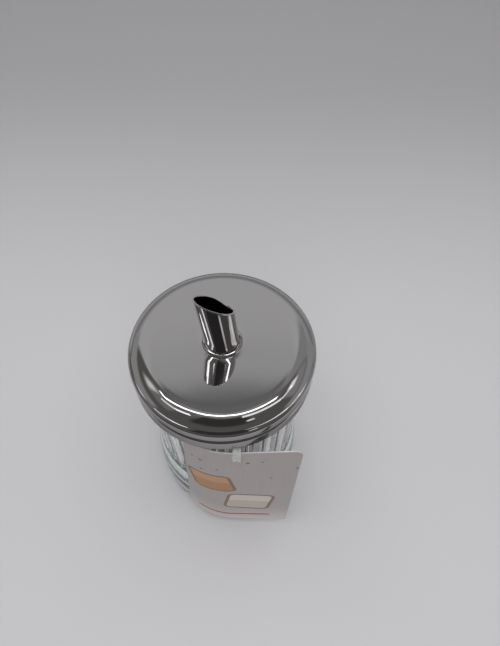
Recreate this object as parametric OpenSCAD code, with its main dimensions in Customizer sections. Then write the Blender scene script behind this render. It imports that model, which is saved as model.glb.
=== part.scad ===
/* [Jar] */
// Diameter of the jar's plain foot
jar_d = 74.4; // [72:0.1:78]
// Height of the jar to its mouth
jar_h = 121.2; // [110:0.1:150]
// Thickness of the glass at the mouth
wall = 3.2; // [2.6:0.1:4]
// Thickness of the glass in the middle of the base
base_t = 9; // [6:0.1:14]
// Rounding of the heel where the body meets the table
heel_r = 5; // [3:0.1:7]
// Rounding inside, between the wall and the floor
floor_r = 8; // [4:0.1:12]
// Depth of the hollow under the base
punt_h = 1.4; // [0.6:0.1:2.5]
// Width of the flat ring that the jar stands on
stand_w = 7; // [4:0.1:12]
// Number of upright flutes
flutes = 24; // [16:1:30]
// Radius of a flute's hollow
flute_r = 10; // [6:0.1:20]
// Depth of a flute
flute_depth = 0.8; // [0.4:0.05:1.4]
// Length over which a flute runs out at each end
flute_run = 7; // [4:0.1:10]
// Height at which the body starts to flare out to the foot
flare_top = 54.5; // [45:0.1:65]
// Radius of the two bends that make the flare
flare_r = 65; // [40:1:75]
// Rounding of the mouth's two edges
lip_r = 1.2; // [0.6:0.1:1.5]

/* [Lid] */
// Diameter of the lid over its beads
lid_d = 75; // [72:0.1:80]
// Height of the lid without its collar
lid_h = 18.7; // [17:0.1:24]
// Thickness of the lid's steel sheet
sheet = 0.5; // [0.3:0.05:0.8]
// Radius of the shoulder that rolls over from the flat top
dome_r = 13; // [10:0.1:15]
// Angle through which the shoulder rolls
dome_turn = 41; // [35:1:48]
// Radius of the crease between the shoulder and the first bead
crease_r = 0.8; // [0.6:0.1:1.5]
// Angle through which the crease turns back out
crease_turn = 17; // [10:1:25]
// Radius of the beads' crowns
bead_r = 2; // [1.5:0.1:2.5]
// Upright run on the first bead
bead_run = 4.1; // [2:0.1:6]
// Slope of the groove's sides
groove_turn = 26; // [15:1:30]
// Length of each side of the groove
groove_side = 0.8; // [0.5:0.1:1.5]
// Radius of the groove's bottom
groove_r = 1.5; // [1:0.1:2.5]
// Radius of the turned-in bottom edge
edge_r = 1.6; // [1:0.1:2.5]
// Angle through which the bottom edge turns in
edge_turn = 50; // [30:1:60]
// Height of the collar round the tube
collar_h = 2; // [1.5:0.1:4]
// Rounding at the collar's foot
collar_foot_r = 0.9; // [0.6:0.1:1.2]
// Room between the groove and the neck for the screw thread
thread_room = 2.3; // [1.5:0.1:3]

/* [Seal] */
// Least thickness of the seal, at its outer edge
seal_t = 2; // [1:0.1:3]
// How far the seal reaches inside the mouth
seal_inset = 0.6; // [0.2:0.1:1.5]
// How far the seal stays inside the neck's outer edge
seal_margin = 0.4; // [0.2:0.1:1.5]
// Clearance between the seal and the glass rim, and between the seal and the lid
seal_gap = 0.15; // [0.1:0.05:0.3]

/* [Pouring tube] */
// Outer diameter of the tube
tube_d = 13.6; // [10:0.1:18]
// Thickness of the tube's steel
tube_wall = 0.5; // [0.4:0.05:1]
// Angle by which the tube leans from upright
tube_lean = 6.1; // [0:0.1:8]
// Direction in which the tube's top leans
tube_lean_to = 161; // [0:1:360]
// Clearance between the tube and its collar
tube_gap = 0.25; // [0.1:0.05:0.4]
// Height of the middle of the mouth above the lid
mouth_rise = 23.5; // [18:0.1:35]
// Angle between the mouth and the level
mouth_cut = 44.5; // [20:0.5:55]
// Direction in which the mouth falls
mouth_fall = 54; // [0:1:360]
// Clearance between the tube's foot and the jar's floor
foot_gap = 5; // [2:0.1:15]
// Angle between the tube's foot and the level
foot_cut = 35; // [0:1:45]
// Radius of the swaged bead that stops the tube under the lid
stop_r = 0.9; // [0.6:0.1:1.4]

/* [Tag] */
// Thickness of the card
card_t = 0.5; // [0.4:0.05:0.8]
// Height of the card
card_h = 94.5; // [60:0.1:100]
// Distance of the card's right edge from the middle of the jar
card_right = 33; // [25:0.1:40]
// Where the card starts to bend round the jar
card_bend = 4; // [0:0.1:8]
// How far the bent side reaches to the left at the card's top
card_left_top = 18.4; // [14:0.1:20]
// How far the bent side reaches to the left at the card's foot
card_left_foot = 22.9; // [18:0.1:26]
// How far the card's upper right corner leans back towards the lid
card_back = 1.8; // [0:0.1:3]
// Distance between the card's foot and the foot of the jar
card_stand_off = 5; // [3:0.1:8]
// Rounding of the card's upper corner
card_corner_top = 4; // [2:0.1:6]
// Rounding of the card's lower corner
card_corner_foot = 1.5; // [1:0.1:4]
// Clearance between the card and the glass
card_gap = 0.35; // [0.3:0.05:0.8]
// Thickness of the clear band round the neck
tie_d = 1; // [0.8:0.1:1.4]
// Room below the lid for the band and the strap
tie_room = 2.4; // [2.2:0.1:4]
// Clearance of the band and the strap
tie_gap = 0.2; // [0.1:0.05:0.3]
// Width of the clear strap
strap_w = 3.4; // [2:0.1:5]
// Thickness of the clear strap
strap_t = 0.7; // [0.5:0.05:1]
// Distance of the strap from the middle of the jar
strap_x = 7; // [0:0.1:12]
// Distance of the card's hole below its top edge
hole_drop = 6; // [4:0.1:10]

/* [Hidden] */
$fn = 96;

// Degrees of bend between two neighbouring points of an outline, and the fewest steps in a bend
bend_step = 8;
bend_least = 4;
// Points along the seal's top
seal_steps = 6;

function turned(v, a) = [v.x * cos(a) - v.y * sin(a), v.x * sin(a) + v.y * cos(a)];

// Points of an outline that is walked in straight runs, each followed by a smooth bend.
// A step is [run, radius, turn], where a left turn is positive. The walk may be moved to its right by side.
function walk(p, heading, steps, side = 0, i = 0) =
    i == len(steps) ? [p] :
    let (
        run = steps[i][0],
        turn = steps[i][2],
        way = turn < 0 ? 1 : -1,
        r = steps[i][1] - way * side,
        q = p + run * [cos(heading), sin(heading)],
        centre = q + way * r * [sin(heading), -cos(heading)],
        n = max(bend_least, ceil(abs(turn) / bend_step))
    )
    concat(
        run > 0 ? [p] : [],
        [for (k = [0 : 1 : n - 1]) centre + turned(q - centre, turn * k / n)],
        walk(centre + turned(q - centre, turn), heading + turn, steps, side, i + 1)
    );

function reversed(list) = [for (i = [len(list) - 1 : -1 : 0]) list[i]];
function farthest(list) = max([for (p = list) p.x]);
function lowest(list) = min([for (p = list) p.y]);

// Turn of each half of a double bend that shifts a wall to either side, and the length that the bend takes
function shift_turn(shift, r) = sign(shift) * acos(1 - abs(shift) / r);
function shift_length(shift, r) = r * sin(abs(shift_turn(shift, r)));

// Lid: the collar, the flat top, the rolled shoulder, the two beads and the turned-in edge
tube_r = tube_d / 2;
collar_mid = (collar_h - sheet) / 2;
collar_in_r = tube_r / cos(tube_lean) + (collar_h + sheet) / 2 * tan(tube_lean) + tube_gap;
collar_r = collar_in_r + sheet;
function lid_steps(flat, skirt) = [
    [collar_h - collar_foot_r, collar_foot_r, 90],
    [flat, dome_r, -dome_turn],
    [0, crease_r, crease_turn],
    [0, bead_r, dome_turn - crease_turn - 90],
    [bead_run, bead_r, -groove_turn],
    [groove_side, groove_r, 2 * groove_turn],
    [groove_side, bead_r, -groove_turn],
    [skirt, edge_r, -edge_turn]
];
lid_probe = walk([collar_r, collar_h], -90, lid_steps(0, 0));
flat_run = lid_d / 2 - farthest(lid_probe);
skirt_run = lid_h + lowest(lid_probe);
flat_r = collar_r + collar_foot_r + flat_run;
groove_depth = (bead_r + groove_r) * (1 - cos(groove_turn)) + groove_side * sin(groove_turn);

// Jar: its fluted body goes straight up into the neck, which leaves room for the thread inside the lid
jar_r = jar_d / 2;
body_r = lid_d / 2 - groove_depth - sheet - thread_room;
mouth_r = body_r - wall;
seal_in_r = mouth_r - seal_inset;
seal_out_r = body_r - seal_margin;

// Height of the lid's inside above the seal, measured down from the top of the lid
function dome_drop(r) = dome_r - sqrt((dome_r - sheet) ^ 2 - max(0, r - flat_r) ^ 2);
lid_top = jar_h + 2 * seal_gap + seal_t + dome_drop(seal_out_r);
lid_foot = lid_top - lid_h;
neck_foot = lid_foot - tie_room;

// The jar's whole outline, from the hollow under the base over the mouth to the floor inside
punt_r = 2;
punt_bend = 2 * punt_r;
punt_turn = shift_turn(punt_h, punt_bend);
punt_run = jar_r - heel_r - stand_w - shift_length(punt_h, punt_bend);
flare_bend = 2 * flare_r;
flare_shift = jar_r - body_r;
flare_turn = shift_turn(flare_shift, flare_bend);
flare_foot = flare_top - shift_length(flare_shift, flare_bend);
jar_steps = [
    [punt_run, punt_r, -punt_turn],
    [0, punt_r, punt_turn],
    [stand_w, heel_r, 90],
    [flare_foot - heel_r, flare_r, flare_turn],
    [0, flare_r, -flare_turn],
    [jar_h - lip_r - flare_top, lip_r, 90],
    [wall - 2 * lip_r, lip_r, 90],
    [jar_h - lip_r - base_t - floor_r, floor_r, -90]
];

// The flutes run out below the neck and at the top of the flare
flute_foot = flare_top - flute_run;
flute_core_r = body_r - 2 * flute_depth;
flute_end_r = body_r + 4 * flute_depth;

// Tube: it passes through the middle of the collar
tube_centre = [0, 0, lid_top + collar_mid];
tube_run = [sin(tube_lean) * cos(tube_lean_to), sin(tube_lean) * sin(tube_lean_to), cos(tube_lean)];
function tube_at(z) = tube_centre + tube_run * (z - tube_centre.z) / tube_run.z;
foot_reach = tube_r * (tan(foot_cut) + tan(tube_lean));
foot_z = base_t + foot_gap + foot_reach;
tube_above = (mouth_rise - collar_mid) / tube_run.z + tube_d;
tube_below = (tube_centre.z - foot_z) / tube_run.z + tube_d;
stop_drop = collar_mid + sheet + stop_r + (tube_r + stop_r) * tan(tube_lean) + tube_gap;
reach = 2 * jar_h;

// Tag: the band lies round the neck under the lid, and the strap leads over the card's top edge to its hole.
// The card clears the foot, or the band where that stands out further.
tie_ring_r = body_r + tie_gap + tie_d / 2;
tie_z = neck_foot + tie_gap + tie_d / 2;
girth_r = max(jar_r, tie_ring_r + tie_d / 2);
card_top = tie_z - strap_t / 2 - tie_gap;
card_foot = card_top - card_h;
card_y_top = -(girth_r + card_gap + card_t / 2);
card_y_foot = -(girth_r + card_stand_off + card_t / 2);
hole_z = card_top - hole_drop;
columns = 14;
flat_columns = 4;

// Sideways shift and depth of the bent side, which lies on an arc that starts square to the flat side
hug_r = girth_r + card_gap + card_t;
function bend_depth(y, left) = -y - sqrt(hug_r ^ 2 - (left - card_bend) ^ 2);
function bend_radius(y, left) = (left ^ 2 + bend_depth(y, left) ^ 2) / (2 * bend_depth(y, left));
function bend_angle(y, left) = asin(left / bend_radius(y, left));
function card_point(y, left, k, side) =
    let (r = bend_radius(y, left), a = bend_angle(y, left) * k / columns)
    [card_bend - (r + side) * sin(a), y + r - (r + side) * cos(a)];
function card_row(y, left, back, z, side) = concat(
    [for (k = [columns : -1 : 0]) let (p = card_point(y, left, k, side)) [p.x, p.y, z]],
    [for (k = [1 : flat_columns]) let (part = k / flat_columns)
        [card_bend + (card_right - card_bend) * part, y + back * part - side, z]]
);

// Hollows of the flutes, which run out on cones at both ends
module flute_hollows() {
    difference() {
        translate([0, 0, flute_foot]) linear_extrude(neck_foot - flute_foot) for (i = [0 : flutes - 1])
            rotate(i * 360 / flutes) translate([body_r + flute_r - flute_depth, 0]) circle(flute_r);
        rotate_extrude() polygon([
            [0, flute_foot - flute_run],
            [flute_end_r, flute_foot - flute_run],
            [flute_core_r, flare_top],
            [flute_core_r, neck_foot - flute_run],
            [flute_end_r, neck_foot + flute_run],
            [0, neck_foot + flute_run]
        ]);
    }
}

module glass_jar() {
    color([0.80, 0.90, 0.86, 0.4]) difference() {
        rotate_extrude() polygon(concat(walk([0, punt_h], 0, jar_steps), [[0, base_t]]));
        flute_hollows();
    }
}

module lid_shell() {
    outer = walk([collar_r, collar_h], -90, lid_steps(flat_run, skirt_run));
    inner = walk([collar_in_r, collar_h], -90, lid_steps(flat_run, skirt_run), sheet);
    color([0.75, 0.75, 0.77])
        translate([0, 0, lid_top]) rotate_extrude() polygon(concat(outer, reversed(inner)));
}

module lid_seal() {
    top = [for (i = [0 : seal_steps]) let (r = seal_out_r + (seal_in_r - seal_out_r) * i / seal_steps)
        [r, lid_top - dome_drop(r) - seal_gap]];
    foot = jar_h + seal_gap;
    color([0.92, 0.91, 0.88])
        rotate_extrude() polygon(concat([[seal_in_r, foot], [seal_out_r, foot]], top));
}

// Block that cuts the tube off square to a direction
module tube_cut(at, lean, towards) {
    size = 4 * tube_d;
    translate(at) rotate([0, lean, towards]) translate([-size / 2, -size / 2, 0]) cube(size);
}

module pour_tube() {
    in_r = tube_r - tube_wall;
    bead = walk([tube_r, -stop_drop - stop_r], 0, [[0, stop_r, 180]]);
    color([0.78, 0.78, 0.80]) difference() {
        translate(tube_centre) rotate([0, tube_lean, tube_lean_to])
            rotate_extrude() polygon(concat(
                [[in_r, tube_above], [in_r, -tube_below], [tube_r, -tube_below]],
                bead,
                [[tube_r, tube_above]]
            ));
        tube_cut(tube_at(lid_top + mouth_rise), mouth_cut, mouth_fall);
        tube_cut(tube_at(foot_z), 180 - foot_cut, mouth_fall + 180);
    }
}

module card_outline() {
    left = -jar_r;
    polygon(concat(
        walk([left, card_foot], 0, [
            [card_right - left - card_corner_foot, card_corner_foot, 90],
            [card_h - card_corner_foot - card_corner_top, card_corner_top, 90]
        ]),
        [[left, card_top]]
    ));
}

module card_sheet() {
    rows = concat(
        card_row(card_y_foot, card_left_foot, 0, card_foot, card_t / 2),
        card_row(card_y_top, card_left_top, card_back, card_top, card_t / 2),
        card_row(card_y_top, card_left_top, card_back, card_top, -card_t / 2),
        card_row(card_y_foot, card_left_foot, 0, card_foot, -card_t / 2)
    );
    n = columns + flat_columns + 1;
    // Both faces of the card are split along the same diagonals, so that they stay parallel
    side = [for (j = [0 : 3]) for (i = [0 : n - 2])
        let (a = j * n + i, b = (j + 1) % 4 * n + i)
        for (face = j < 2 ? [[a, b, b + 1], [a, b + 1, a + 1]] : [[a, b, a + 1], [b, b + 1, a + 1]]) face];
    ends = [[0, 3 * n, 2 * n], [0, 2 * n, n], [n - 1, 2 * n - 1, 3 * n - 1], [n - 1, 3 * n - 1, 4 * n - 1]];
    polyhedron(rows, concat(side, ends));
}

module hang_tag() {
    color([0.80, 0.76, 0.74]) difference() {
        intersection() {
            card_sheet();
            translate([0, reach / 2, 0]) rotate([90, 0, 0]) linear_extrude(reach) card_outline();
        }
        translate([strap_x, 0, hole_z]) rotate([90, 0, 0]) cylinder(d = strap_w + 2 * tie_gap, h = reach);
    }
}

module tag_strap() {
    front = card_y_top - card_t / 2 - tie_gap - strap_t - hole_drop * (card_y_top - card_y_foot) / card_h;
    back = card_y_top + card_t / 2 + tie_gap;
    root = -sqrt((tie_ring_r + tie_d / 2) ^ 2 - (strap_x - strap_w / 2) ^ 2) - tie_gap;
    foot = hole_z - strap_t / 2;
    top = tie_z + strap_t / 2;
    color([0.90, 0.92, 0.92, 0.5]) translate([strap_x - strap_w / 2, 0, 0])
        rotate([90, 0, 90]) linear_extrude(strap_w) {
            translate([front, top - strap_t]) square([root - front, strap_t]);
            translate([front, foot]) square([strap_t, top - foot]);
            translate([front, foot]) square([back - front, strap_t]);
        }
}

module tag_tie() {
    color([0.90, 0.92, 0.92, 0.5])
        translate([0, 0, tie_z]) rotate_extrude() translate([tie_ring_r, 0]) circle(d = tie_d, $fn = 24);
}

glass_jar();
lid_shell();
lid_seal();
pour_tube();
hang_tag();
tag_strap();
tag_tie();
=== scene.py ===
"""Finished look of a glass sugar dispenser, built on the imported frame.

Each class below is one sub-assembly. It holds its sizes in millimetres, builds its meshes in the frame of the
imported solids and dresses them. The finishes come first, the studio with its floor, lamps and camera comes last.
"""

import logging
import math
from dataclasses import dataclass
from enum import Enum
from typing import Any, Mapping, Sequence

import bmesh
import bpy
from bpy.types import ID, Material, Node, NodeSocket, NodeTree, Object
from mathutils import Matrix, Vector


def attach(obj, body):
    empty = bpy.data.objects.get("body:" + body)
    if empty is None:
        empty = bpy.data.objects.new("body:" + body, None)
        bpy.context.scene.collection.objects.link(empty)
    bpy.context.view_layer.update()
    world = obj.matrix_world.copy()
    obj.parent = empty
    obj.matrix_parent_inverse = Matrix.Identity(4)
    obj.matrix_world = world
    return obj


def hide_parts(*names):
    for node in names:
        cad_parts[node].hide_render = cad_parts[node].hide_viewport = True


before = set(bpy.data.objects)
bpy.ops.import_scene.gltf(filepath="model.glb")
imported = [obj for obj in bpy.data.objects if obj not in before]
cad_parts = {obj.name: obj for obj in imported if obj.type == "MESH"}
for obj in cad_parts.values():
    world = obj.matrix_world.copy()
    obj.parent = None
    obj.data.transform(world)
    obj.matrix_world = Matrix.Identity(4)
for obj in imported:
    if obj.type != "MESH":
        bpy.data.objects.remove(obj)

MM = 0.001
# Points that lie closer than this, in millimetres, are one
MERGE = 1e-4
# A radius under this, in millimetres, is a pole
POLE = 1e-6
# How far a length may be off, in millimetres, and still count as equal
SLACK = 0.01
# A bend of 1 mm radius gets a point each 6 degrees, a wider one gets more, and each bend has at least 5
BEND_STEP, BEND_POINTS = 6.0, 5
# One unit of the card's own map, in millimetres
CARD_MAP = 100.0
Outline = list[tuple[float, float]]
Step = tuple[float, float, float]
Span = tuple[float, float, float]
Pair = tuple[float, float]
Point = tuple[float, float, float]
log = logging.getLogger("sugar_dispenser")


class Body(Enum):
    """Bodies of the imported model."""

    JAR = "jar"
    LID = "lid"
    SEAL = "seal"
    TAG = "tag"


class Slot(Enum):
    """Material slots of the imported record."""

    GLASS = "clear_glass"
    STEEL = "polished_steel"
    SEAL = "seal_plastic"
    BOARD = "paperboard"
    CLEAR = "clear_plastic"


def linear(colour: str) -> tuple[float, float, float, float]:
    """Turns an sRGB hex colour to linear light.

    Args:
        colour: Six hex digits after a hash sign.

    Returns:
        Red, green, blue and an alpha of 1.
    """
    parts = [int(colour[i : i + 2], 16) / 255 for i in (1, 3, 5)]
    red, green, blue = (c / 12.92 if c <= 0.04045 else ((c + 0.055) / 1.055) ** 2.4 for c in parts)
    return red, green, blue, 1.0


def add_node(tree: NodeTree, kind: str, inputs: Mapping[int | str, Any] | None = None, **settings: Any) -> Node:
    """Adds one node with its settings and its links.

    Args:
        tree: Tree that gets the node.
        kind: Blender's name for the kind of node. A shader node is named without its family.
        inputs: Values by socket name or number. A node stands for its first live output, a socket is linked, and a
            hex colour is turned to linear light. A Mix has its share at 0 and its colours at 6 and 7. A MapRange has
            its value at 0, the ends of the range at 1 and 2, and what they give at 3 and 4.
        settings: Attributes of the node itself.

    Returns:
        The new node.
    """
    node = tree.nodes.new(kind if kind.startswith(("Geometry", "NodeGroup")) else f"ShaderNode{kind}")
    for name, value in settings.items():
        setattr(node, name, value)
    for key, value in (inputs or {}).items():
        if isinstance(value, Node):
            value = next(output for output in value.outputs if output.enabled)
        if isinstance(value, NodeSocket):
            tree.links.new(value, node.inputs[key])
        else:
            node.inputs[key].default_value = linear(value) if isinstance(value, str) else value
    return node


def within(tree: NodeTree, value: Node | NodeSocket, span: Span, falloff: str = "LINEAR") -> Node:
    """Marks where a value lies near a middle.

    Args:
        tree: Tree that gets the nodes.
        value: Value to test.
        span: Middle of the span, half of its width and the width of its soft edge.
        falloff: How the soft edge falls off.

    Returns:
        Node that gives 1 inside the span and 0 outside.
    """
    middle, half, soft = span
    off = add_node(tree, "Math", {0: value, 1: middle}, operation="SUBTRACT")
    off = add_node(tree, "Math", {0: off}, operation="ABSOLUTE")
    ends = {0: off, 1: half, 2: half + soft, 3: 1.0, 4: 0.0}
    return add_node(tree, "MapRange", ends, interpolation_type=falloff)


def new_material(name: str) -> tuple[Material, NodeTree, NodeSocket]:
    """Makes an empty node material.

    Args:
        name: What the real material is.

    Returns:
        The material, its node tree, and the place on the piece that its patterns follow.
    """
    material = bpy.data.materials.new(name)
    material.use_nodes = True
    tree = material.node_tree
    tree.nodes.clear()
    return material, tree, add_node(tree, "TexCoord").outputs["Object"]


def new_object(name: str, data: ID) -> Object:
    """Adds an object to the scene, at the origin.

    Args:
        name: Name of the object.
        data: Its mesh, lamp or camera.

    Returns:
        The new object.
    """
    made = bpy.data.objects.new(name, data)
    bpy.context.scene.collection.objects.link(made)
    return made


def new_tree(name: str, sizes: Mapping[str, float]) -> tuple[NodeTree, dict[str, NodeSocket]]:
    """Starts a geometry node tree with a material input and one named input for each size.

    Args:
        name: Name of the tree.
        sizes: Inputs and their values.

    Returns:
        The tree, and the sockets that give its inputs.
    """
    tree = bpy.data.node_groups.new(name, "GeometryNodeTree")
    tree.interface.new_socket("Geometry", in_out="INPUT", socket_type="NodeSocketGeometry")
    tree.interface.new_socket("Geometry", in_out="OUTPUT", socket_type="NodeSocketGeometry")
    tree.interface.new_socket("Material", in_out="INPUT", socket_type="NodeSocketMaterial")
    for size in sizes:
        tree.interface.new_socket(size, in_out="INPUT", socket_type="NodeSocketFloat")
    return tree, {socket.name: socket for socket in add_node(tree, "NodeGroupInput").outputs}


def end_tree(tree: NodeTree, shape: Node, material: NodeSocket) -> None:
    """Ends a geometry node tree in a plain mesh with its finish.

    Args:
        tree: Tree to end.
        shape: Node that gives the finished shape.
        material: Input that gives the finish.
    """
    whole = add_node(tree, "GeometryNodeRealizeInstances", {"Geometry": shape})
    dressed = add_node(tree, "GeometryNodeSetMaterial", {"Geometry": whole, "Material": material})
    add_node(tree, "NodeGroupOutput", {0: dressed})


def bake(piece: Object) -> None:
    """Keeps what a piece's modifiers give as its plain mesh.

    Args:
        piece: Object with live modifiers.
    """
    evaluated = piece.evaluated_get(bpy.context.evaluated_depsgraph_get())
    mesh = bpy.data.meshes.new_from_object(evaluated)
    piece.modifiers.clear()
    piece.data = mesh


def apply_tree(piece: Object, tree: NodeTree, material: Material, sizes: Mapping[str, float]) -> None:
    """Runs a geometry node tree on a piece and keeps the result as its plain mesh.

    Args:
        piece: Object whose mesh goes into the tree.
        tree: Tree with named inputs.
        material: Finish that the tree sets.
        sizes: Values of the inputs.
    """
    modifier = piece.modifiers.new(tree.name, "NODES")
    modifier.node_group = tree
    values = {"Material": material, **sizes}
    for item in tree.interface.items_tree:
        if item.in_out == "INPUT" and item.name in values:
            modifier[item.identifier] = values[item.name]
    bake(piece)


def new_piece(
    name: str, points: Sequence[Sequence[float]], faces: Sequence[Sequence[int]], crease: float = 35.0
) -> Object:
    """Makes a smooth closed mesh from points in millimetres.

    Args:
        name: Name of the piece.
        points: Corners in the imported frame.
        faces: Corner numbers of each face.
        crease: Angle in degrees past which an edge stays sharp.

    Returns:
        The new object, at the origin.
    """
    mesh = bpy.data.meshes.new(name)
    mesh.from_pydata([[c * MM for c in p] for p in points], [], faces)
    work = bmesh.new()
    work.from_mesh(mesh)
    bmesh.ops.remove_doubles(work, verts=work.verts, dist=MERGE * MM)
    bmesh.ops.recalc_face_normals(work, faces=work.faces)
    work.to_mesh(mesh)
    work.free()
    mesh.shade_smooth()
    mesh.set_sharp_from_angle(angle=math.radians(crease))
    return new_object(name, mesh)


def seat_piece(piece: Object, body: Body, slot: Slot, *nodes: str) -> None:
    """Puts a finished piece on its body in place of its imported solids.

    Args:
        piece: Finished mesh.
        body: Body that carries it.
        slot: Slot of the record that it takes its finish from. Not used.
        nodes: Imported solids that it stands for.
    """
    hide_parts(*nodes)
    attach(piece, body.value)
    log.info("%s: %d faces on %s", piece.name, len(piece.data.polygons), body.value)


def dress_solid(node: str, material: Material) -> None:
    """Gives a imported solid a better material.

    Args:
        node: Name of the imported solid.
        material: New finish.
    """
    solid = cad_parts[node]
    solid.data.materials.clear()
    solid.data.materials.append(material)
    log.info("%s: packed solid, dressed", node)


def walk(start: tuple[float, float], heading: float, steps: Sequence[Step], side: float = 0.0) -> Outline:
    """Walks an outline in straight runs, each followed by a smooth bend.

    Args:
        start: First point.
        heading: First direction in degrees.
        steps: Run, bend radius and turn in degrees of each step. A left turn is positive.
        side: How far the whole walk is moved to its right.

    Returns:
        The points of the walk.
    """
    x, y = start
    points = [start]
    for run, radius, turn in steps:
        along = math.radians(heading)
        x, y = x + run * math.cos(along), y + run * math.sin(along)
        if run > 0:
            points.append((x, y))
        way = 1 if turn < 0 else -1
        r = radius - way * side
        centre = (x + way * r * math.sin(along), y - way * r * math.cos(along))
        # Wide bends get finer steps, so that what they mirror stays smooth
        count = max(BEND_POINTS, math.ceil(abs(turn) * math.sqrt(radius) / BEND_STEP)) if turn else 0
        for k in range(1, count + 1):
            a = math.radians(turn * k / count)
            dx, dy = x - centre[0], y - centre[1]
            points.append(
                (centre[0] + dx * math.cos(a) - dy * math.sin(a), centre[1] + dx * math.sin(a) + dy * math.cos(a))
            )
        x, y = points[-1]
        heading += turn
    return points


def divided(outline: Outline, longest: float) -> Outline:
    """Splits the long runs of an outline.

    Args:
        outline: Points in order.
        longest: Longest run that is left whole.

    Returns:
        The same outline with more points.
    """
    points = outline[:1]
    for (x0, y0), (x1, y1) in zip(outline, outline[1:]):
        count = max(1, math.ceil(math.dist((x0, y0), (x1, y1)) / longest))
        points += [(x0 + (x1 - x0) * k / count, y0 + (y1 - y0) * k / count) for k in range(1, count + 1)]
    return points


def turned_piece(name: str, outline: Outline, sectors: int, closed: bool) -> Object:
    """Turns an outline of radii and heights round the upright axis.

    Args:
        name: Name of the piece.
        outline: Radius and height of each point.
        sectors: Number of sectors in the full turn.
        closed: Whether the last point joins the first one.

    Returns:
        The new object.
    """
    points: list[Point] = []
    rings: list[list[int]] = []
    for radius, height in outline:
        count = sectors if radius > POLE else 1
        rings.append([len(points) + k for k in range(count)] * (sectors // count))
        turns = (2 * math.pi * k / sectors for k in range(count))
        points += [(radius * math.cos(a), radius * math.sin(a), height) for a in turns]
    faces = []
    for low, high in zip(rings, rings[1:] + rings[:1] if closed else rings[1:]):
        for k in range(sectors):
            n = (k + 1) % sectors
            corners = [low[k], low[n], high[n], high[k]]
            faces.append(list(dict.fromkeys(corners)))
    return new_piece(name, points, faces)


@dataclass(frozen=True)
class PolishedStainless:
    """Drawn stainless steel sheet, buffed to a mirror.

    The eye gets sharp, slightly wavy reflections, with faint smears where the buffing haze is uneven. Below the
    lid's shoulder the wall is a little rougher, and its darker glancing tint is painted shade on what it mirrors.
    """

    colour: str = "#CCCACA"
    glance: str = "#FFFFFF"
    # Painted shade: a darker glancing tint below the shoulder dims what the lower wall mirrors
    lower_wall_shade_tint: str = "#A6A5A5"
    lower_wall_haze: float = 0.05
    lower_wall_top_mm: float = 121.2
    lower_wall_fade_mm: float = 0.8
    clean: float = 0.025
    hazy: float = 0.065
    haze_span: Pair = (0.4, 0.75)
    haze_mm: float = 9.0
    wave_mm: float = 14.0
    wave_height_mm: float = 0.012

    def material(self) -> Material:
        """Makes the node material.

        Returns:
            The finish of the lid and the tube.
        """
        material, tree, place = new_material("stainless_steel_buffed")
        haze = add_node(tree, "TexNoise", {"Vector": place, "Scale": 1 / (self.haze_mm * MM), "Detail": 5.0})
        low, high = self.haze_span
        rough = add_node(tree, "MapRange", {0: haze, 1: low, 2: high, 3: self.clean, 4: self.hazy})
        waves = add_node(tree, "TexNoise", {"Vector": place, "Scale": 1 / (self.wave_mm * MM), "Detail": 1.0})
        bump = add_node(tree, "Bump", {"Height": waves, "Strength": 1.0, "Distance": self.wave_height_mm * MM})
        # Below the shoulder the roughness grows and the glancing tint turns darker, a painted shade
        height = add_node(tree, "SeparateXYZ", {0: place}).outputs["Z"]
        lower_wall_top = self.lower_wall_top_mm * MM
        buffed = add_node(tree, "MapRange", {0: height, 1: lower_wall_top - self.lower_wall_fade_mm * MM, 2: lower_wall_top})
        dull = add_node(tree, "MapRange", {0: buffed, 3: self.lower_wall_haze, 4: 0.0})
        glance = add_node(tree, "Mix", {0: buffed, 6: self.lower_wall_shade_tint, 7: self.glance}, data_type="RGBA")
        surface = {
            "Base Color": self.colour,
            "Metallic": 1.0,
            "Specular Tint": glance,
            "Roughness": add_node(tree, "Math", {0: rough, 1: dull}, operation="ADD"),
            "Normal": bump,
        }
        shader = add_node(tree, "BsdfPrincipled", surface)
        add_node(tree, "OutputMaterial", {"Surface": shader})
        return material


@dataclass(frozen=True)
class SodaLimeGlass:
    """Pressed soda-lime glass, fire-polished.

    The eye gets clear walls with soft ripples, and a green tint that grows with the thickness of the glass.
    """

    colour: str = "#FFFFFF"
    tint: str = "#B9DCC9"
    density: float = 10.0
    ripple_mm: float = 11.0
    ripple_height_mm: float = 0.03

    def material(self) -> Material:
        """Makes the node material.

        Returns:
            The finish of the jar.
        """
        material, tree, place = new_material("soda_lime_glass_pressed")
        ripples = add_node(tree, "TexNoise", {"Vector": place, "Scale": 1 / (self.ripple_mm * MM), "Detail": 1.0})
        bump = add_node(tree, "Bump", {"Height": ripples, "Strength": 1.0, "Distance": self.ripple_height_mm * MM})
        surface = {
            "Base Color": self.colour,
            "Roughness": 0.0,
            "IOR": 1.52,
            "Transmission Weight": 1.0,
            "Normal": bump,
        }
        shader = add_node(tree, "BsdfPrincipled", surface)
        inside = add_node(tree, "VolumeAbsorption", {"Color": self.tint, "Density": self.density})
        add_node(tree, "OutputMaterial", {"Surface": shader, "Volume": inside})
        return material


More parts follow.
